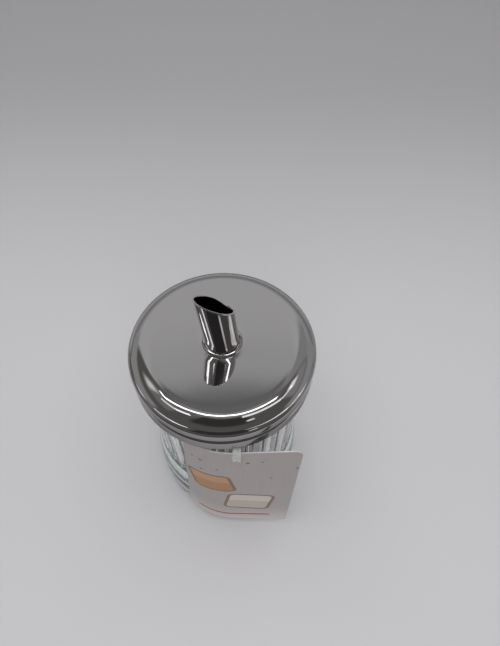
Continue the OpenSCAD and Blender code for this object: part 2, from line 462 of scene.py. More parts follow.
@dataclass(frozen=True)
class ClearPlastic:
    """Moulded flexible clear plastic.

    The eye gets a slightly milky, glossy strip.
    """

    colour: str = "#F2F5F5"
    cloud_mm: float = 1.5
    cloud_span: Pair = (0.3, 0.7)
    clear: float = 0.12
    milky: float = 0.3

    def material(self) -> Material:
        """Makes the node material.

        Returns:
            The finish of the tag's strap and band.
        """
        material, tree, place = new_material("clear_polypropylene_moulded")
        cloud = add_node(tree, "TexNoise", {"Vector": place, "Scale": 1 / (self.cloud_mm * MM), "Detail": 3.0})
        low, high = self.cloud_span
        rough = add_node(tree, "MapRange", {0: cloud, 1: low, 2: high, 3: self.clear, 4: self.milky})
        surface = {"Base Color": self.colour, "Roughness": rough, "IOR": 1.49, "Alpha": 0.32}
        shader = add_node(tree, "BsdfPrincipled", surface)
        add_node(tree, "OutputMaterial", {"Surface": shader})
        return material


@dataclass(frozen=True)
class SealPolyethylene:
    """Moulded low-density polyethylene.

    The eye gets a soft waxy off-white with a fine moulded grain.
    """

    colour: str = "#E9E6DE"
    shade: str = "#DAD5CA"
    grain_mm: float = 0.6
    grain_height_mm: float = 0.02

    def material(self) -> Material:
        """Makes the node material.

        Returns:
            The finish of the sealing ring.
        """
        material, tree, place = new_material("polyethylene_moulded")
        grain = add_node(tree, "TexNoise", {"Vector": place, "Scale": 1 / (self.grain_mm * MM), "Detail": 3.0})
        colour = add_node(tree, "Mix", {0: grain, 6: self.shade, 7: self.colour}, data_type="RGBA")
        bump = add_node(tree, "Bump", {"Height": grain, "Strength": 0.4, "Distance": self.grain_height_mm * MM})
        surface = {"Base Color": colour, "Roughness": 0.45, "IOR": 1.51, "Subsurface Weight": 0.15, "Normal": bump}
        shader = add_node(tree, "BsdfPrincipled", surface)
        add_node(tree, "OutputMaterial", {"Surface": shader})
        return material


class CardFace(Enum):
    """Surfaces of the hang tag."""

    FRONT = "coated_board_printed"
    BACK = "coated_board_back"
    EDGE = "coated_board_cut_edge"


@dataclass(frozen=True)
class PrintedCube:
    """One sugar cube of the card's print, in millimetres on the flat card."""

    place: Point
    half: float
    corner: float
    turn: float
    top: str
    side: str


@dataclass(frozen=True)
class CoatedBoard:
    """White coated paperboard, offset printed on its front.

    The eye gets a matt warm grey ground with a fine upright screen, flat inks and a white cut edge. The ground
    is painted lighter towards the foot, a painted light thrown up by the table.
    """

    face: CardFace
    ground: str = "#BEB7B6"
    shade: str = "#B1AAA9"
    # Painted light: the lighter tone that the ground takes at the foot
    fade: str = "#DED6D5"
    edge: str = "#F6F4F2"
    tan: str = "#CDA179"
    brown: str = "#BC8F64"
    cream: str = "#DBD4CA"
    oat: str = "#CAC1B6"
    line: str = "#8F7565"
    stripe: str = "#A5463C"
    # Real paper fibres and a real print screen are too fine to show, so both are drawn coarser
    fibre_mm: float = 0.35
    screen_mm: float = 0.9
    fibre_height_mm: float = 0.02
    screen_squeeze: float = 0.04
    foot_light_mm: float = 26.0
    foot_light_power: float = 1.5
    grain_mm: float = 5.0
    grain_r: Pair = (0.17, 0.21)
    grain_share: float = 0.45
    grain_band: Span = (75.0, 9.0, 5.0)
    fold: Pair = (1.2, 1.8)
    line_mm: float = 1.5
    blur_mm: float = 0.15
    rule_up: Span = (9.0, 0.8, 0.2)
    rule_across: Span = (26.0, 19.0, 0.15)

    def material(self) -> Material:
        """Makes the node material.

        Returns:
            The finish of one surface of the card.
        """
        material, tree, place = new_material(self.face.value)
        fibre = add_node(tree, "TexNoise", {"Vector": place, "Scale": 1 / (self.fibre_mm * MM), "Detail": 4.0})
        bump = add_node(tree, "Bump", {"Height": fibre, "Strength": 0.35, "Distance": self.fibre_height_mm * MM})
        if self.face is CardFace.FRONT:
            colour = self.print_colour(tree, place.node.outputs["UV"])
        else:
            first, last = (self.edge, self.ground) if self.face is CardFace.EDGE else (self.ground, self.shade)
            colour = add_node(tree, "Mix", {0: fibre, 6: first, 7: last}, data_type="RGBA")
        surface = {"Base Color": colour, "Roughness": 0.5, "IOR": 1.5, "Specular IOR Level": 0.35, "Normal": bump}
        shader = add_node(tree, "BsdfPrincipled", surface)
        add_node(tree, "OutputMaterial", {"Surface": shader})
        return material

    def print_colour(self, tree: NodeTree, uv: NodeSocket) -> Node:
        """Draws the card's plain print: sugar cubes, grains and a stripe, on a ground with painted light at the foot.

        Args:
            tree: Tree of the material.
            uv: The card's own map, from its lower left corner.

        Returns:
            Node that gives the colour of the card at each place.
        """
        place = add_node(tree, "VectorMath", {0: uv, 1: (CARD_MAP, CARD_MAP, 0.0)}, operation="MULTIPLY")
        across, upwards, _ = add_node(tree, "SeparateXYZ", {0: place}).outputs
        # The screen's threads are fine across the card and long upwards
        threads = add_node(tree, "VectorMath", {0: place, 1: (1.0, self.screen_squeeze, 0.0)}, operation="MULTIPLY")
        screen = add_node(tree, "TexNoise", {"Vector": threads, "Scale": 1 / self.screen_mm, "Detail": 2.0})
        colour = add_node(tree, "Mix", {0: screen, 6: self.shade, 7: self.ground}, data_type="RGBA")
        # Painted light: the ground turns lighter towards the foot, as if lit from the table below
        fade = add_node(tree, "MapRange", {0: upwards, 1: 0.0, 2: self.foot_light_mm, 3: 1.0, 4: 0.0})
        fade = add_node(tree, "Math", {0: fade, 1: self.foot_light_power}, operation="POWER")
        # Loose grains are strewn over a band in the upper part
        grains = add_node(tree, "TexVoronoi", {"Vector": place, "Scale": 1 / self.grain_mm}).outputs
        inner, outer = self.grain_r
        dots = add_node(tree, "MapRange", {0: grains["Distance"], 1: inner, 2: outer, 3: 1.0, 4: 0.0})
        kept = add_node(tree, "SeparateColor", {0: grains["Color"]}).outputs["Red"]
        kept = add_node(tree, "Math", {0: kept, 1: self.grain_share}, operation="GREATER_THAN")
        for part in (kept, within(tree, upwards, self.grain_band)):
            dots = add_node(tree, "Math", {0: dots, 1: part}, operation="MULTIPLY")
        layers: list[tuple[Node, str | Node]] = [(fade, self.fade), (dots, self.line)]
        for cube in (
            PrintedCube((16.5, 56.0, 0.0), 10.5, 3.5, 10.0, self.tan, self.brown),
            PrintedCube((34.0, 31.0, 0.0), 11.5, 3.8, -8.0, self.cream, self.oat),
        ):
            turned = (0.0, 0.0, math.radians(cube.turn))
            inputs = {"Vector": place, "Location": cube.place, "Rotation": turned}
            local = add_node(tree, "Mapping", inputs, vector_type="TEXTURE")
            # The distance from a square with its corners taken off gives the cube round corners
            out, flat = local, cube.half - cube.corner
            for operation, less in (("ABSOLUTE", 0.0), ("SUBTRACT", flat), ("MAXIMUM", 0.0), ("LENGTH", 0.0)):
                out = add_node(tree, "VectorMath", {0: out, 1: (less, less, 0.0)}, operation=operation)
            height = add_node(tree, "SeparateXYZ", {0: local}).outputs["Y"]
            upper = add_node(tree, "MapRange", {0: height, 1: self.fold[0], 2: self.fold[1]})
            paint = add_node(tree, "Mix", {0: upper, 6: cube.side, 7: cube.top}, data_type="RGBA")
            for reach, ink in ((cube.corner, self.line), (cube.corner - self.line_mm, paint)):
                edge = {0: out, 1: reach - self.blur_mm, 2: reach + self.blur_mm, 3: 1.0, 4: 0.0}
                layers.append((add_node(tree, "MapRange", edge), ink))
        rule = {0: within(tree, upwards, self.rule_up), 1: within(tree, across, self.rule_across)}
        layers.append((add_node(tree, "Math", rule, operation="MULTIPLY"), self.stripe))
        for share, ink in layers:
            colour = add_node(tree, "Mix", {0: share, 6: colour, 7: ink}, data_type="RGBA")
        return colour


@dataclass
class GlassJar:
    """Glass jar with a flared plain foot, a fluted body and a screw neck."""

    jar_d: float = 74.4
    jar_h: float = 121.2
    wall: float = 3.2
    body_r: float = 33.9951
    base_t: float = 9.0
    heel_r: float = 5.0
    floor_r: float = 8.0
    punt_h: float = 1.4
    punt_r: float = 2.0
    stand_w: float = 7.0
    flare_top: float = 54.5
    flare_r: float = 65.0
    neck_foot: float = 104.4395
    lip_r: float = 1.2
    flutes: int = 24
    flute_r: float = 10.0
    flute_depth: float = 0.8
    flute_run: float = 7.0
    run_out_sink: float = 2.0
    rib_soft: float = 0.35
    thread_foot: float = 108.6
    thread_pitch: float = 4.8
    thread_turns: float = 1.35
    thread_fade: float = 0.06
    thread_w: float = 2.6
    thread_h: float = 1.5
    thread_sink: float = 0.5
    row: float = 6.0
    flute_row: float = 0.7
    thread_row: float = 0.3
    sectors: int = 360

    def outline(self) -> Outline:
        """Walks the jar's section from the middle of the base over the mouth to the middle of the floor.

        Returns:
            Radius and height of each point.
        """
        jar_r, flute_top = self.jar_d / 2, self.neck_foot - self.flute_run
        punt_turn, punt_run = self.shift(self.punt_h, 2 * self.punt_r)
        flare_turn, flare_run = self.shift(jar_r - self.body_r, 2 * self.flare_r)
        points = walk(
            (0.0, self.punt_h),
            0.0,
            [
                (jar_r - self.heel_r - self.stand_w - punt_run, self.punt_r, -punt_turn),
                (0.0, self.punt_r, punt_turn),
                (self.stand_w, self.heel_r, 90.0),
                (self.flare_top - flare_run - self.heel_r, self.flare_r, flare_turn),
                (0.0, self.flare_r, -flare_turn),
                (flute_top - self.flare_top, 0.0, 0.0),
                (self.flute_run, 0.0, 0.0),
                (self.jar_h - self.lip_r - self.neck_foot, self.lip_r, 90.0),
                (self.wall - 2 * self.lip_r, self.lip_r, 90.0),
                (self.jar_h - self.lip_r - self.base_t - self.floor_r, self.floor_r, -90.0),
            ],
        )
        points.append((0.0, self.base_t))
        fine: Outline = []
        for near, far in zip(points, points[1:]):
            # Rows lie close together where the flutes run out and where the thread climbs
            row = self.row
            if min(near[0], far[0]) > self.body_r - SLACK:
                foot = min(near[1], far[1])
                if foot > flute_top - SLACK:
                    row = self.thread_row if foot > self.neck_foot - SLACK else self.flute_row
            fine += divided([near, far], row)[:-1]
        return fine + points[-1:]

    def shift(self, distance: float, radius: float) -> tuple[float, float]:
        """Works out a double bend that shifts a wall sideways.

        Args:
            distance: Sideways shift.
            radius: Sum of the two bend radii.

        Returns:
            Turn of each half in degrees, and the length that the bend takes.
        """
        turn = math.acos(1 - distance / radius)
        return math.degrees(turn), radius * math.sin(turn)

    def flute_tree(self, sizes: Mapping[str, float]) -> NodeTree:
        """Builds the tree that presses the flutes into the body and raises the thread on the neck.

        Args:
            sizes: Named inputs of the tree.

        Returns:
            The geometry node tree.
        """
        tree, size = new_tree("fluted_screw_jar", sizes)
        x, y, z = add_node(tree, "SeparateXYZ", {0: add_node(tree, "GeometryNodeInputPosition")}).outputs
        level = add_node(tree, "CombineXYZ", {0: x, 1: y})
        radius = add_node(tree, "VectorMath", {0: level}, operation="LENGTH")
        value: dict[Any, Any] = {**size, "x": x, "y": y, "z": z, "radius": radius}
        # Each row gives a result, its operation and the terms that it takes
        for name, operation, *terms in (
            ("angle", "ARCTAN2", "y", "x"),
            # The hollow of the nearest flute is a circle that stands outside the body
            ("half", "DIVIDE", math.pi, "Flutes"),
            ("low", "MULTIPLY", "half", -1.0),
            ("off", "WRAP", "angle", "half", "low"),
            ("centre", "ADD", "Body radius", "Flute radius"),
            ("centre", "SUBTRACT", "centre", "Flute depth"),
            ("cosine", "COSINE", "off"),
            ("ahead", "MULTIPLY", "centre", "cosine"),
            ("sine", "SINE", "off"),
            ("aside", "MULTIPLY", "centre", "sine"),
            ("square", "MULTIPLY", "aside", "aside"),
            ("reach", "POWER", "Flute radius", 2.0),
            ("reach", "SUBTRACT", "reach", "square"),
            ("reach", "SQRT", "reach"),
            ("hollow", "SUBTRACT", "ahead", "reach"),
            # Past its foot and its top the hollow runs out on a slope
            ("below", "SUBTRACT", "Flute foot", "z"),
            ("above", "SUBTRACT", "z", "Flute top"),
            ("past", "MAXIMUM", "below", "above"),
            ("slope", "MULTIPLY_ADD", "past", "Run-out slope", "Run-out core"),
            ("hollow", "MAXIMUM", "hollow", "slope"),
            ("fluted", "SMOOTH_MIN", "radius", "hollow", "Rib softness"),
            # The thread is one ridge that climbs by its pitch in each turn
            ("share", "DIVIDE", "angle", 2 * math.pi),
            ("share", "FRACT", "share"),
            ("climb", "SUBTRACT", "z", "Thread foot"),
            ("climb", "DIVIDE", "climb", "Thread pitch"),
            ("climb", "SUBTRACT", "climb", "share"),
            ("turn", "ROUND", "climb"),
            ("miss", "SUBTRACT", "climb", "turn"),
            ("miss", "ABSOLUTE", "miss"),
            ("miss", "MULTIPLY", "miss", "Thread pitch"),
            ("half width", "DIVIDE", "Thread width", 2.0),
            ("along", "ADD", "turn", "share"),
            ("last", "SUBTRACT", "Thread turns", "Thread fade"),
            ("rise", "GREATER_THAN", "radius", "Thread root"),
        ):
            inputs = {k: value.get(term, term) for k, term in enumerate(terms)}
            value[name] = add_node(tree, "Math", inputs, operation=operation)
        # The ridge is smooth across, and dies out at both ends
        made = value["rise"]
        for terms in (
            ("miss", 0.0, "half width", "Thread height", 0.0),
            ("along", 0.0, "Thread fade", 0.0, 1.0),
            ("along", "last", "Thread turns", 1.0, 0.0),
        ):
            inputs = {k: value.get(term, term) for k, term in enumerate(terms)}
            part = add_node(tree, "MapRange", inputs, interpolation_type="SMOOTHSTEP")
            made = add_node(tree, "Math", {0: made, 1: part}, operation="MULTIPLY")
        made = add_node(tree, "Math", {0: value["fluted"], 1: made}, operation="ADD")
        outwards = add_node(tree, "VectorMath", {0: level}, operation="NORMALIZE")
        outwards = add_node(tree, "VectorMath", {0: outwards, "Scale": made}, operation="SCALE")
        upwards = add_node(tree, "CombineXYZ", {2: z})
        moved = add_node(tree, "VectorMath", {0: outwards, 1: upwards}, operation="ADD")
        shaped = add_node(tree, "GeometryNodeSetPosition", {"Geometry": size["Geometry"], "Position": moved})
        end_tree(tree, shaped, size["Material"])
        return tree

    def build(self, glass: SodaLimeGlass) -> None:
        """Builds the jar and dresses it.

        Args:
            glass: Finish of the jar.
        """
        lengths = {
            "Body radius": self.body_r,
            "Flute radius": self.flute_r,
            "Flute depth": self.flute_depth,
            "Flute foot": self.flare_top,
            "Flute top": self.neck_foot - self.flute_run,
            "Run-out core": self.body_r - self.run_out_sink * self.flute_depth,
            "Rib softness": self.rib_soft,
            "Thread foot": self.thread_foot,
            "Thread pitch": self.thread_pitch,
            "Thread width": self.thread_w,
            "Thread height": self.thread_h,
            "Thread root": self.body_r - self.thread_sink,
        }
        sizes = {name: length * MM for name, length in lengths.items()}
        sizes["Flutes"] = float(self.flutes)
        sizes["Run-out slope"] = (self.run_out_sink + 1) * self.flute_depth / self.flute_run
        sizes["Thread turns"], sizes["Thread fade"] = self.thread_turns, self.thread_fade
        jar = turned_piece("fluted_jar", self.outline(), self.sectors, closed=False)
        apply_tree(jar, self.flute_tree(sizes), glass.material(), sizes)
        seat_piece(jar, Body.JAR, Slot.GLASS, "glass_jar")


@dataclass
class ScrewLid:
    """Pressed steel lid with a rolled shoulder, two beads and a collar for the tube."""

    lid_top: float = 125.5395
    lid_h: float = 18.7
    lid_r: float = 37.5
    sheet: float = 0.5
    collar_r: float = 8.0
    collar_h: float = 0.5
    collar_foot_r: float = 0.05
    rim_r: float = 0.1
    rim_run: float = 0.3
    rim_slope: float = 20.0
    cone_run: float = 0.95
    cone_slope: float = 60.0
    dome_r: float = 11.8
    dome_turn: float = 43.0
    crease_r: float = 0.6
    crease_turn: float = 23.0
    crown_r: float = 4.5
    crown_turn: float = 12.0
    shoulder_r: float = 1.2
    bead_run: float = 3.35
    bead_r: float = 2.0
    groove_turn: float = 26.0
    groove_side: float = 0.5
    groove_r: float = 1.2
    edge_r: float = 2.4
    edge_turn: float = 50.0
    row: float = 2.5
    rounds: int = 3
    sectors: int = 320

    def steps(self) -> list[Step]:
        """Lists the runs and bends of the lid's section, from under the collar's rim to the bottom edge.

        Returns:
            Steps of a walk. The flat top and the skirt take up what the bends leave of the lid's size.
        """
        flat_run, skirt_run = 0.0, 0.0
        shoulder_turn = 90.0 - self.dome_turn + self.crease_turn - self.crown_turn
        for _ in range(self.rounds):
            steps = [
                (self.collar_h - self.collar_foot_r, self.collar_foot_r, 90.0),
                (flat_run, self.dome_r, -self.dome_turn),
                (0.0, self.crease_r, self.crease_turn),
                (0.0, self.crown_r, -self.crown_turn),
                (0.0, self.shoulder_r, -shoulder_turn),
                (self.bead_run, self.bead_r, -self.groove_turn),
                (self.groove_side, self.groove_r, 2 * self.groove_turn),
                (self.groove_side, self.bead_r, -self.groove_turn),
                (skirt_run, self.edge_r, -self.edge_turn),
            ]
            points = walk((self.collar_r, self.collar_h), -90.0, steps)
            flat_run += self.lid_r - max(radius for radius, _ in points)
            skirt_run += self.lid_h + min(height for _, height in points)
        return steps

    def build(self, steel: Material) -> None:
        """Builds the lid and dresses it.

        Args:
            steel: Finish of the lid.
        """
        rim = self.lid_top + self.collar_h
        over = [
            (self.rim_run, self.rim_r, self.rim_slope - self.cone_slope),
            (self.cone_run, self.rim_r, self.cone_slope - 90.0),
        ]
        reach, drop = walk((0.0, 0.0), -self.rim_slope, over)[-1]
        lip = (self.collar_r - reach, rim - drop)
        outer = divided(walk(lip, -self.rim_slope, [*over, *self.steps()]), self.row)
        inner = divided(walk((self.collar_r - self.sheet, rim), -90.0, self.steps(), self.sheet), self.row)
        lid = turned_piece("screw_lid", outer + inner[::-1], self.sectors, closed=True)
        lid.data.materials.append(steel)
        seat_piece(lid, Body.LID, Slot.STEEL, "lid_shell")


@dataclass
class PouringTube:
    """Steel pouring tube with a lap seam, cut obliquely at both ends, with a swaged bead under the lid."""

    centre: Point = (0.0, 0.0, 126.2895)
    tube_r: float = 6.8
    wall: float = 0.5
    lean: float = 6.1
    lean_to: float = 161.0
    mouth_z: float = 149.0395
    mouth_cut: float = 44.5
    cut_fall: float = 54.0
    foot_z: float = 19.4881
    foot_cut: float = 35.0
    stop_r: float = 0.9
    stop_step: int = 10
    stop_drop: float = 3.2229
    rim_round: float = 0.12
    rim_knee: float = 0.3
    rim_band: float = 6.0
    seam_at: float = 55.0
    seam_spread: float = 50.0
    seam_dip: float = 1.9
    lap_from: float = 6.0
    lap_to: float = 58.0
    lap_h: float = 0.7
    sectors: int = 192

    def seam(self, bearing: float) -> tuple[float, float]:
        """Gives the mouth's rim its shape at the lap seam.

        Args:
            bearing: Direction from the tube's axis, in degrees.

        Returns:
            How far the rim dips there, and how far the outer layer of the lap stands above the inner one.
        """
        away = min(1.0, abs(bearing - self.seam_at) / self.seam_spread)
        dip = self.seam_dip * (0.5 + 0.5 * math.cos(math.pi * away))
        if not self.lap_from < bearing < self.lap_to:
            return dip, 0.0
        return dip, self.lap_h * (bearing - self.lap_from) / (self.lap_to - self.lap_from)

    def build(self, steel: Material) -> None:
        """Builds the tube and dresses it.

        Args:
            steel: Finish of the tube.
        """
        lean, to = math.radians(self.lean), math.radians(self.lean_to)
        fall = math.radians(self.cut_fall)
        run = Vector((math.sin(lean) * math.cos(to), math.sin(lean) * math.sin(to), math.cos(lean)))
        turn = Matrix.Rotation(to, 3, "Z") @ Matrix.Rotation(lean, 3, "Y")
        middle = Vector(self.centre)
        cuts = []
        for height, cut in ((self.foot_z, self.foot_cut), (self.mouth_z, self.mouth_cut)):
            slope = math.radians(cut)
            normal = Vector((math.sin(slope) * math.cos(fall), math.sin(slope) * math.sin(fall), math.cos(slope)))
            cuts.append((middle + run * ((height - middle.z) / run.z), normal))
        # Each row gives its radius, the end or the height that it follows, and how far inside that end it lies
        out_r, in_r, b = self.tube_r, self.tube_r - self.wall, self.rim_round
        knee, band = self.rim_knee * b, self.rim_band * b
        ends = [(in_r, band), (in_r, b), (in_r + knee, knee), (in_r + b, 0.0)]
        ends += [(out_r - b, 0.0), (out_r - knee, knee), (out_r, b), (out_r, band)]
        turns = [math.radians(a) for a in range(90, -91, -self.stop_step)]
        bead = [(out_r + self.stop_r * math.cos(a), self.stop_r * math.sin(a) - self.stop_drop) for a in turns]
        rows: list[tuple[float, int | None, float]] = [(r, 1, -d) for r, d in ends]
        rows += [(r, None, z) for r, z in bead]
        rows += [(r, 0, d) for r, d in reversed(ends)]
        points, faces = [], []
        for k in range(self.sectors):
            a = 2 * math.pi * k / self.sectors
            side = turn @ Vector((math.cos(a), math.sin(a), 0.0))
            dip, lap = self.seam(math.degrees(math.atan2(side.y, side.x)))
            for radius, end, value in rows:
                on_side = middle + side * radius
                along = value
                if end is not None:
                    at, normal = cuts[end]
                    along += (at - on_side).dot(normal) / run.dot(normal)
                if end == 1:
                    along += (lap if radius > out_r - 2 * b else 0.0) - dip
                points.append(on_side + run * along)
        count = len(rows)
        for k in range(self.sectors):
            n = (k + 1) % self.sectors
            for j in range(count):
                m = (j + 1) % count
                faces.append((k * count + j, n * count + j, n * count + m, k * count + m))
        tube = new_piece("pouring_tube", points, faces, crease=70.0)
        tube.data.materials.append(steel)
        seat_piece(tube, Body.LID, Slot.STEEL, "pour_tube")


@dataclass
class LidSeal:
    """Plastic sealing ring under the lid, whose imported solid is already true."""

    def build(self, plastic: SealPolyethylene) -> None:
        """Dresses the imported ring.

        Args:
            plastic: Finish of the ring.
        """
        dress_solid("lid_seal", plastic.material())


@dataclass
class HangTag:
    """Printed card that hangs from the neck and bends round the jar on its left side."""

    card_t: float = 0.5
    card_top: float = 104.5895
    card_foot: float = 10.0895
    card_right: float = 33.0
    card_bend: float = 4.0
    left_top: float = 18.4
    left_foot: float = 22.9
    y_top: float = -37.8
    y_foot: float = -42.45
    back: float = 1.8
    hug_foot: float = 38.05
    hug_top: float = 35.3
    corner_top: float = 4.0
    corner_foot: float = 1.5
    hole_x: float = 7.0
    hole_z: float = 98.5895
    hole_d: float = 3.8
    hole_catch: Pair = (0.25, 0.35)
    corner_steps: tuple[int, int] = (6, 10)
    crease: float = 50.0
    columns: int = 96
    rows: int = 180

    def bent(self, y: float, left: float, hug: float, share: float) -> Point:
        """Finds a point of the card's bent side.

        Args:
            y: Depth of the flat side in this row.
            left: How far the bent side reaches in this row.
            hug: Distance from the jar's axis at which it ends.
            share: How far along the bend the point lies, from 0 to 1.

        Returns:
            Its place across and in depth, and its distance along the card.
        """
        depth = -y - math.sqrt(hug**2 - (left - self.card_bend) ** 2)
        radius = (left**2 + depth**2) / (2 * depth)
        angle = math.asin(left / radius) * share
        return self.card_bend - radius * math.sin(angle), y + radius * (1 - math.cos(angle)), radius * angle

    def point(self, share: float, height: float) -> tuple[Point, Pair]:
        """Finds a point in the middle of the card's thickness.

        Args:
            share: Place across, from -1 at the bent edge over 0 at the start of the bend to 1 at the right edge.
            height: Place upwards, in millimetres.

        Returns:
            The point, and its place on the flat card from the start of the bend and the foot.
        """
        up = (height - self.card_foot) / (self.card_top - self.card_foot)
        if share < 0:
            low = self.bent(self.y_foot, self.left_foot, self.hug_foot, -share)
            high = self.bent(self.y_top, self.left_top, self.hug_top, -share)
            x, y, run = (a + (b - a) * up for a, b in zip(low, high))
            return (x, y, height), (-run, height - self.card_foot)
        x = self.card_bend + (self.card_right - self.card_bend) * share
        y = self.y_foot + (self.y_top + self.back * share - self.y_foot) * up
        return (x, y, height), (x - self.card_bend, height - self.card_foot)

    def right_end(self, height: float) -> float:
        """Tells how far the card reaches to the right, with its rounded corners.

        Args:
            height: Place upwards, in millimetres.

        Returns:
            Share of the flat side.
        """
        inset = 0.0
        for radius, inside in (
            (self.corner_top, self.card_top - height),
            (self.corner_foot, height - self.card_foot),
        ):
            if inside < radius:
                inset = radius - math.sqrt(max(0.0, radius**2 - (radius - inside) ** 2))
        return 1 - inset / (self.card_right - self.card_bend)

    def heights(self) -> list[float]:
        """Lists the heights of the card's rows, close together in its rounded corners.

        Returns:
            Heights from the foot to the top.
        """
        top_step, foot_step = self.corner_steps
        ends = [self.corner_foot * (1 - math.cos(math.radians(a))) for a in range(0, 90, foot_step)]
        tops = [self.corner_top * (1 - math.cos(math.radians(a))) for a in range(0, 90, top_step)]
        low, high = self.card_foot + self.corner_foot, self.card_top - self.corner_top
        middle = [low + (high - low) * k / self.rows for k in range(self.rows + 1)]
        return [self.card_foot + e for e in ends] + middle + [self.card_top - e for e in reversed(tops)]

    def build(self, dress: Mapping[CardFace, Material]) -> None:
        """Builds the card and dresses it.

        Args:
            dress: Finish of each surface.
        """
        heights, points, places, faces = self.heights(), [], [], []
        bends = self.columns // 2
        for height in heights:
            end = self.right_end(height)
            shares = [-1 + k / bends for k in range(bends)] + [end * k / bends for k in range(bends + 1)]
            for share in shares:
                point, place = self.point(share, height)
                points.append(point)
                places.append(place)
        count = 2 * bends + 1
        hole = (self.hole_x, self.hole_z)
        radius = self.hole_d / 2
        reach = [math.dist((p[0], p[2]), hole) for p in points]
        for i, p in enumerate(points):
            # Corners close to the hole's edge move on to it
            if radius - self.hole_catch[0] < reach[i] < radius + self.hole_catch[1]:
                part = radius / reach[i]
                points[i] = (hole[0] + (p[0] - hole[0]) * part, p[1], hole[1] + (p[2] - hole[1]) * part)
                reach[i] = radius
        for j in range(len(heights) - 1):
            for k in range(count - 1):
                corners = (j * count + k, j * count + k + 1, (j + 1) * count + k + 1, (j + 1) * count + k)
                if min(reach[c] for c in corners) > radius - SLACK:
                    faces.append(corners)
        card = bpy.data.meshes.new("hang_tag")
        card.from_pydata([[c * MM for c in p] for p in points], [], faces)
        layer = card.uv_layers.new(name="card")
        left = max(-place[0] for place in places)
        for loop in card.loops:
            u, v = places[loop.vertex_index]
            layer.data[loop.index].uv = ((u + left) / CARD_MAP, v / CARD_MAP)
        work = bmesh.new()
        work.from_mesh(card)
        bmesh.ops.delete(work, geom=[v for v in work.verts if not v.link_faces], context="VERTS")
        work.to_mesh(card)
        work.free()
        card.shade_smooth()
        piece = new_object("printed_hang_tag", card)
        for face in CardFace:
            card.materials.append(dress[face])
        wall = piece.modifiers.new("thickness", "SOLIDIFY")
        wall.thickness = self.card_t * MM
        wall.offset = 0.0
        wall.use_even_offset = True
        wall.material_offset = list(CardFace).index(CardFace.BACK)
        wall.material_offset_rim = list(CardFace).index(CardFace.EDGE)
        bake(piece)
        piece.data.set_sharp_from_angle(angle=math.radians(self.crease))
        seat_piece(piece, Body.TAG, Slot.BOARD, "hang_tag")


@dataclass
class TagTie:
    """Clear band round the neck, and the strap that carries the card."""

    strap_x: float = 7.0
    strap_w: float = 3.4
    strap_t: float = 0.7
    strap_round: float = 0.2
    bend_r: float = 0.5
    bend_points: int = 6
    edge_points: int = 4
    root_y: float = -34.9937
    front_y: float = -38.895
    back_y: float = -37.35
    tie_z: float = 105.1395
    hole_z: float = 98.5895

    def strap_tree(self, sizes: Mapping[str, float]) -> NodeTree:
        """Builds the tree that draws a flat band with rounded edges along a bent path.

        Args:
            sizes: Named inputs of the tree.

        Returns:
            The geometry node tree.
        """
        tree, size = new_tree("bent_flat_band", sizes)
        path = add_node(tree, "GeometryNodeMeshToCurve", {"Mesh": size["Geometry"]})
        section = add_node(
            tree, "GeometryNodeCurvePrimitiveQuadrilateral", {"Width": size["Width"], "Height": size["Thickness"]}
        )
        rounded = []
        for curve, radius, points in (
            (path, "Bend radius", self.bend_points),
            (section, "Edge rounding", self.edge_points),
        ):
            bends = {"Curve": curve, "Radius": size[radius], "Count": points, "Limit Radius": True}
            rounded.append(add_node(tree, "GeometryNodeFilletCurve", bends, mode="POLY"))
        band = add_node(
            tree, "GeometryNodeCurveToMesh", {"Curve": rounded[0], "Profile Curve": rounded[1], "Fill Caps": True}
        )
        smooth = add_node(tree, "GeometryNodeSetShadeSmooth", {"Geometry": band})
        end_tree(tree, smooth, size["Material"])
        return tree

    def build(self, plastic: ClearPlastic) -> None:
        """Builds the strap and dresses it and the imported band.

        Args:
            plastic: Finish of both.
        """
        lengths = {
            "Width": self.strap_w,
            "Thickness": self.strap_t,
            "Edge rounding": self.strap_round,
            "Bend radius": self.bend_r,
        }
        sizes = {name: length * MM for name, length in lengths.items()}
        path = [
            (self.strap_x, self.root_y, self.tie_z),
            (self.strap_x, self.front_y, self.tie_z),
            (self.strap_x, self.front_y, self.hole_z),
            (self.strap_x, self.back_y, self.hole_z),
        ]
        mesh = bpy.data.meshes.new("tag_strap_path")
        mesh.from_pydata([[c * MM for c in p] for p in path], [(0, 1), (1, 2), (2, 3)], [])
        strap = new_object("clear_tag_strap", mesh)
        material = plastic.material()
        apply_tree(strap, self.strap_tree(sizes), material, sizes)
        seat_piece(strap, Body.TAG, Slot.CLEAR, "tag_strap")
        dress_solid("tag_tie", material)


@dataclass(frozen=True)
class LightBar:
    """One long soft lamp, in metres and degrees, that faces down until it is tipped."""

    name: str
    place: Point
    length: float
    width: float
    radiance: float
    turn: float = 0.0
    tip: float = 0.0
    mirrored: bool = True

    def build(self) -> None:
        """Hangs the lamp."""
        lamp = bpy.data.lights.new(self.name, "AREA")
        lamp.shape = "RECTANGLE"
        lamp.size, lamp.size_y = self.length, self.width
        lamp.energy = self.radiance * math.pi * self.length * self.width
        holder = new_object(self.name, lamp)
        holder.location = self.place
        holder.rotation_euler = (math.radians(self.tip), 0.0, math.radians(self.turn))
        if not self.mirrored:
            holder.visible_camera = holder.visible_glossy = False


@dataclass(frozen=True)
class Panel:
    """One soft-edged panel of the studio, in degrees. Azimuth 0 is the front, and zenith 0 is overhead."""

    azimuth: float
    zenith: float
    half_width: float
    half_height: float
    soft: float
    colour: str


